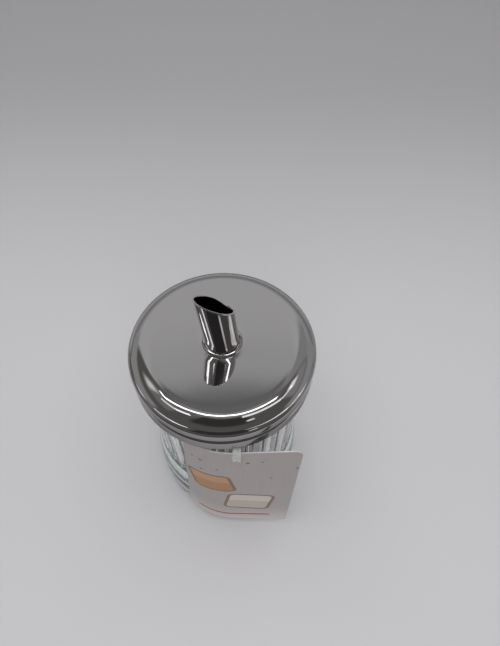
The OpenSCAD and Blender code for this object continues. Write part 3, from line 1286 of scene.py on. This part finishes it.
@dataclass(frozen=True)
class MattLaminate:
    """Matt pale laminate.

    The eye gets a plain table whose colour is a little darker towards the back, a painted shade where the
    lamps' light falls off. Polished steel shows its front dark, as where the lamps' light ends.
    """

    near: str = "#D5D4D7"
    far: str = "#B6B5B8"
    dark: str = "#4A4A4A"
    back: Pair = (0.05, 0.42)
    front: Pair = (-0.15, -0.08)

    def material(self) -> Material:
        """Makes the node material.

        Returns:
            The finish of the table.
        """
        material, tree, place = new_material("matt_laminate")
        depth = add_node(tree, "SeparateXYZ", {0: place}).outputs["Y"]
        # Painted shade: the colour darkens towards the back, where the lamps' light falls off
        back = add_node(
            tree, "MapRange", {0: depth, 1: self.back[0], 2: self.back[1]}, interpolation_type="SMOOTHSTEP"
        )
        colour = add_node(tree, "Mix", {0: back, 6: self.near, 7: self.far}, data_type="RGBA")
        # Painted reflection: what the steel mirrors of the table's front is painted dark, for the unlit front
        ends = {0: depth, 1: self.front[0], 2: self.front[1], 3: 1.0, 4: 0.0}
        front = add_node(tree, "MapRange", ends, interpolation_type="SMOOTHSTEP")
        mirrored = add_node(tree, "LightPath").outputs["Is Glossy Ray"]
        front = add_node(tree, "Math", {0: front, 1: mirrored}, operation="MULTIPLY")
        colour = add_node(tree, "Mix", {0: front, 6: colour, 7: self.dark}, data_type="RGBA")
        shader = add_node(tree, "BsdfPrincipled", {"Base Color": colour, "Roughness": 0.6})
        add_node(tree, "OutputMaterial", {"Surface": shader})
        return material


@dataclass
class Studio:
    """Plain table, soft lamps, the grey panels that the steel mirrors, and the camera."""

    table_half: float = 3.0
    pale: str = "#D9D9DC"
    walls: str = "#5E5C5A"
    ceiling: str = "#747475"
    ceiling_edge: Pair = (15.0, 40.0)
    lens_px: float = 485.0
    frame_px: float = 646.0
    sensor_mm: float = 36.0
    nearest: float = 0.01
    camera_mm: Point = (10.24, -97.09, 288.85)
    pitch: float = 57.04
    yaw: float = 0.21
    roll: float = -1.85

    def build_floor(self, laminate: MattLaminate) -> None:
        """Lays the table.

        Args:
            laminate: Finish of the table.
        """
        half = self.table_half
        mesh = bpy.data.meshes.new("table")
        mesh.from_pydata([(-half, -half, 0), (half, -half, 0), (half, half, 0), (-half, half, 0)], [], [(0, 1, 2, 3)])
        mesh.materials.append(laminate.material())
        new_object("table", mesh)

    def build_lamps(self) -> None:
        """Hangs the lamp bars over the front of the table, and two wide soft fills that mirrors don't show."""
        for bar in (
            LightBar("near_bar", (0.0, -0.150, 1.02), 0.34, 0.05, 5.0),
            LightBar("left_wing", (-0.35, -0.090, 1.02), 0.41, 0.07, 3.0, turn=-14.0),
            LightBar("left_end", (-0.545, 0.010, 1.02), 0.11, 0.06, 2.0, turn=90.0),
            LightBar("right_wing", (0.31, -0.085, 1.02), 0.34, 0.07, 3.0, turn=19.0),
            LightBar("left_bar", (-0.45, -0.334, 1.02), 0.21, 0.09, 1.5, turn=-8.0),
            LightBar("left_tail", (-0.65, -0.245, 1.02), 0.24, 0.10, 0.8, turn=-38.0),
            LightBar("right_bar", (0.46, -0.260, 1.02), 0.56, 0.11, 1.1, turn=17.0),
            LightBar("right_tail", (0.772, -0.065, 1.02), 0.245, 0.11, 0.8, turn=70.0),
            LightBar("soft_fill", (0.0, -0.12, 1.4), 1.6, 1.6, 1.36, mirrored=False),
            LightBar("front_fill", (0.1, -1.2, 0.9), 1.2, 1.2, 0.95, tip=55.0, mirrored=False),
        ):
            bar.build()

    def build_surroundings(self) -> None:
        """Paints the studio round the table: pale panels at the back, grey ones at the sides and dark in front."""
        world = bpy.data.worlds.new("studio")
        bpy.context.scene.world = world
        world.use_nodes = True
        tree = world.node_tree
        tree.nodes.clear()
        way = add_node(tree, "TexCoord").outputs["Generated"]
        x, y, z = add_node(tree, "SeparateXYZ", {0: way}).outputs
        zenith = add_node(tree, "Math", {0: z}, operation="ARCCOSINE")
        zenith = add_node(tree, "Math", {0: zenith}, operation="DEGREES")
        front = add_node(tree, "Math", {0: y, 1: -1.0}, operation="MULTIPLY")
        azimuth = add_node(tree, "Math", {0: x, 1: front}, operation="ARCTAN2")
        azimuth = add_node(tree, "Math", {0: azimuth}, operation="DEGREES")
        low, high = self.ceiling_edge
        side = add_node(tree, "MapRange", {0: zenith, 1: low, 2: high}, interpolation_type="SMOOTHSTEP")
        colour = add_node(tree, "Mix", {0: side, 6: self.ceiling, 7: self.walls}, data_type="RGBA")
        for panel in (
            Panel(0.0, 0.0, 108.0, 12.0, 10.0, "#969696"),
            Panel(180.0, 62.0, 57.0, 34.0, 5.0, "#ABABAB"),
            Panel(180.0, 62.0, 57.0, 27.0, 8.0, "#B6B6B6"),
            Panel(180.0, 92.0, 57.0, 4.0, 20.0, "#8A8A8A"),
            Panel(128.0, 48.0, 8.0, 20.0, 12.0, "#8F8F8F"),
            Panel(95.0, 52.0, 14.0, 7.0, 8.0, "#8C8C8C"),
            Panel(-95.0, 90.0, 26.0, 18.0, 9.0, "#979797"),
            Panel(95.0, 88.0, 26.0, 18.0, 9.0, "#979797"),
            Panel(98.0, 41.0, 4.0, 2.0, 5.0, "#FFFFFF"),
            Panel(-93.0, 44.0, 2.0, 2.0, 11.0, "#E4E4E4"),
            Panel(-72.0, 40.0, 10.0, 8.0, 9.0, "#7C7C7C"),
            Panel(0.0, 33.0, 30.0, 10.0, 9.0, "#383838"),
            Panel(33.0, 40.0, 3.0, 1.0, 3.0, "#FFFFFF"),
        ):
            aside = add_node(tree, "Math", {0: azimuth, 1: panel.azimuth}, operation="SUBTRACT")
            aside = add_node(tree, "Math", {0: aside, 1: 180.0, 2: -180.0}, operation="WRAP")
            across = within(tree, aside, (0.0, panel.half_width, panel.soft), "SMOOTHSTEP")
            upwards = within(tree, zenith, (panel.zenith, panel.half_height, panel.soft), "SMOOTHSTEP")
            share = add_node(tree, "Math", {0: across, 1: upwards}, operation="MULTIPLY")
            colour = add_node(tree, "Mix", {0: share, 6: colour, 7: panel.colour}, data_type="RGBA")
        # The camera, and what it sees through the glass, meets a plain pale wall
        light = add_node(tree, "LightPath").outputs
        plain = add_node(
            tree, "Math", {0: light["Is Camera Ray"], 1: light["Is Transmission Ray"]}, operation="MAXIMUM"
        )
        colour = add_node(tree, "Mix", {0: plain, 6: colour, 7: self.pale}, data_type="RGBA")
        backdrop = add_node(tree, "Background", {"Color": colour, "Strength": 1.0})
        add_node(tree, "OutputWorld", {"Surface": backdrop})

    def build_camera(self) -> None:
        """Sets up the camera at the photograph's place and angle."""
        pitch, yaw, roll = (math.radians(a) for a in (self.pitch, self.yaw, self.roll))
        ahead = Vector((math.sin(yaw) * math.cos(pitch), math.cos(yaw) * math.cos(pitch), -math.sin(pitch)))
        level = Vector((math.cos(yaw), -math.sin(yaw), 0.0))
        down = ahead.cross(level)
        right = math.cos(roll) * level + math.sin(roll) * down
        below = -math.sin(roll) * level + math.cos(roll) * down
        camera = bpy.data.cameras.new("camera")
        camera.sensor_fit = "VERTICAL"
        camera.sensor_height = self.sensor_mm
        camera.lens = self.lens_px / self.frame_px * self.sensor_mm
        camera.clip_start = self.nearest
        holder = new_object("camera", camera)
        place = Matrix((right, -below, -ahead)).transposed().to_4x4()
        place.translation = Vector(self.camera_mm) * MM
        holder.matrix_world = place
        bpy.context.scene.camera = holder

    def build(self) -> None:
        """Builds the whole studio."""
        bpy.context.scene.view_settings.view_transform = "Standard"
        self.build_floor(MattLaminate())
        self.build_lamps()
        self.build_surroundings()
        self.build_camera()
        log.info("studio: table, lamps, surroundings and camera")


def main() -> None:
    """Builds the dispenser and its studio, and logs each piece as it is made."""
    logging.basicConfig(level=logging.INFO, format="%(name)s %(message)s")
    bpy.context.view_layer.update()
    steel = PolishedStainless().material()
    GlassJar().build(SodaLimeGlass())
    ScrewLid().build(steel)
    PouringTube().build(steel)
    LidSeal().build(SealPolyethylene())
    HangTag().build({face: CoatedBoard(face).material() for face in CardFace})
    TagTie().build(ClearPlastic())
    Studio().build()


if __name__ == "__main__":
    main()
